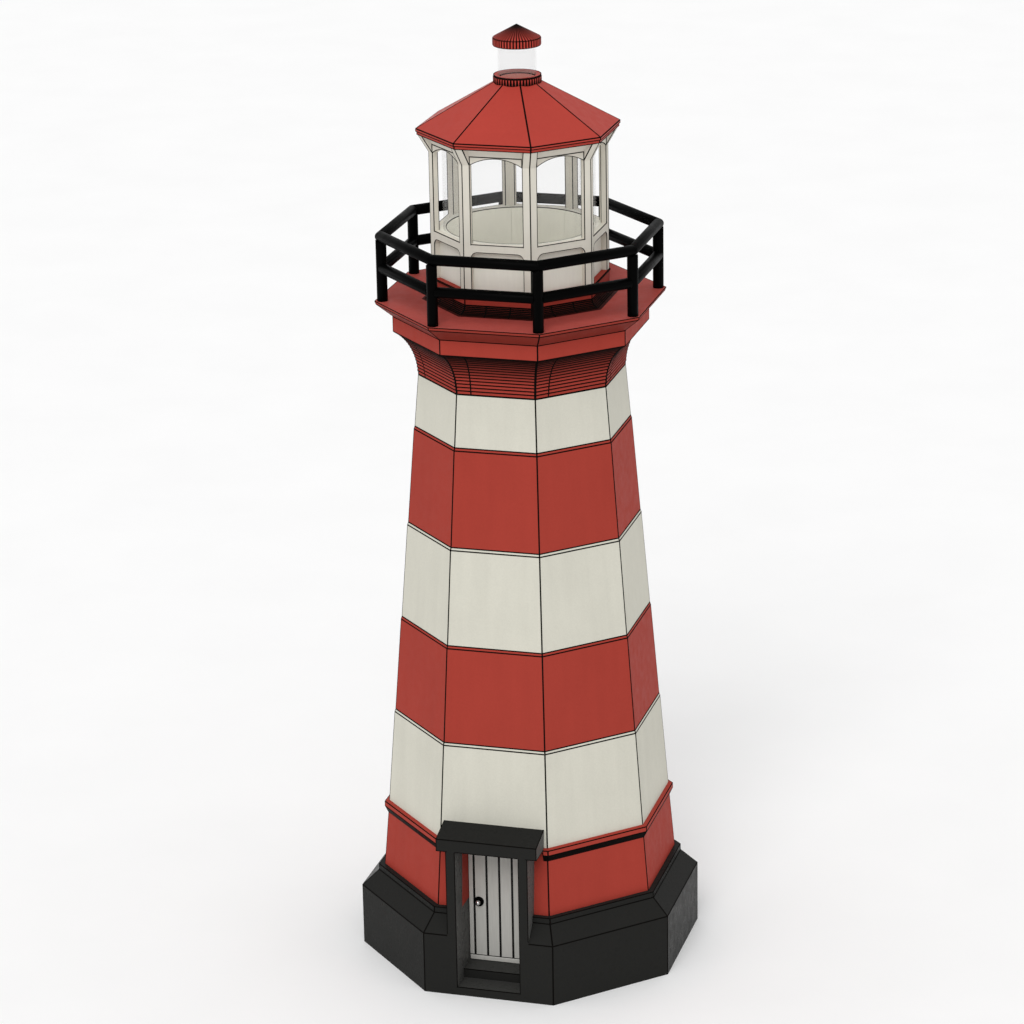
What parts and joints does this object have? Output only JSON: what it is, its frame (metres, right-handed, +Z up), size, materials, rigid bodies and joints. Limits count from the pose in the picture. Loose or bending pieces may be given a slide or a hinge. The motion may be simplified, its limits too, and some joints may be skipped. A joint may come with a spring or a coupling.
{
  "type": "lighthouse",
  "caption": "Octagonal tapering lighthouse with painted bands, a plinth with a portal and hinged door, a railed gallery, a glazed arched lantern and a hipped roof with a glass vent.",
  "frame": {"origin": "centre of the plinth's underside, on the ground", "axes": "+Z up along the tower's axis; the doorway faces -Y"},
  "size_m": [5, 5, 14.77],
  "materials": {
    "black_stone": "matt black painted masonry",
    "stone_floor": "worn grey stone flags",
    "red_wall": "matt red masonry paint",
    "white_wall": "matt warm white masonry paint",
    "white_paint": "satin warm white paint",
    "red_roof": "satin red paint",
    "black_iron": "gloss black paint",
    "clear_glass": "clear curved glass",
    "door_boards": "weathered pale grey paint",
    "bright_metal": "polished"
  },
  "bodies": {
    "tower": {"plinth_walls": "black_stone", "plinth_front_left": "black_stone", "plinth_front_right": "black_stone", "plinth_coping": "black_stone", "ground_floor": "stone_floor", "entrance_step": "black_stone", "entrance_threshold": "black_stone", "portal_post_left": "black_stone", "portal_post_right": "black_stone", "portal_lintel": "black_stone", "base_wall": "red_wall", "entrance_wall_left": "red_wall", "entrance_wall_right": "red_wall", "belt_course": "red_wall", "white_band_lower": "white_wall", "red_band_lower": "red_wall", "white_band_middle": "white_wall", "red_band_upper": "red_wall", "white_band_upper": "white_wall", "gallery_cove": "red_wall", "gallery_frieze": "red_wall", "gallery_deck": "red_wall", "railing_posts": "black_iron", "top_rail": "black_iron", "mid_rail": "black_iron", "lantern_curb": "red_wall", "lantern_panels": "white_paint", "lantern_posts": "white_paint", "lantern_sills": "white_paint", "lantern_arches": "white_paint", "lantern_cornice": "white_paint", "lantern_glass": "clear_glass", "eaves": "red_roof", "roof_panels": "red_roof", "vent_collar": "red_roof", "vent_glass": "clear_glass", "vent_cap": "red_roof", "door_pintles": "black_iron"},
    "door": {"door_leaf": "door_boards", "door_roses": "black_iron", "door_knobs": "bright_metal", "door_hinges": "black_iron"}
  },
  "joints": [
    {"name": "door_hinge", "type": "hinge", "parent": "tower", "child": "door", "pos_m": [0.503, -1.714, 0.287], "axis": [0, 0, -1], "range_deg": [0, 90]}
  ]
}
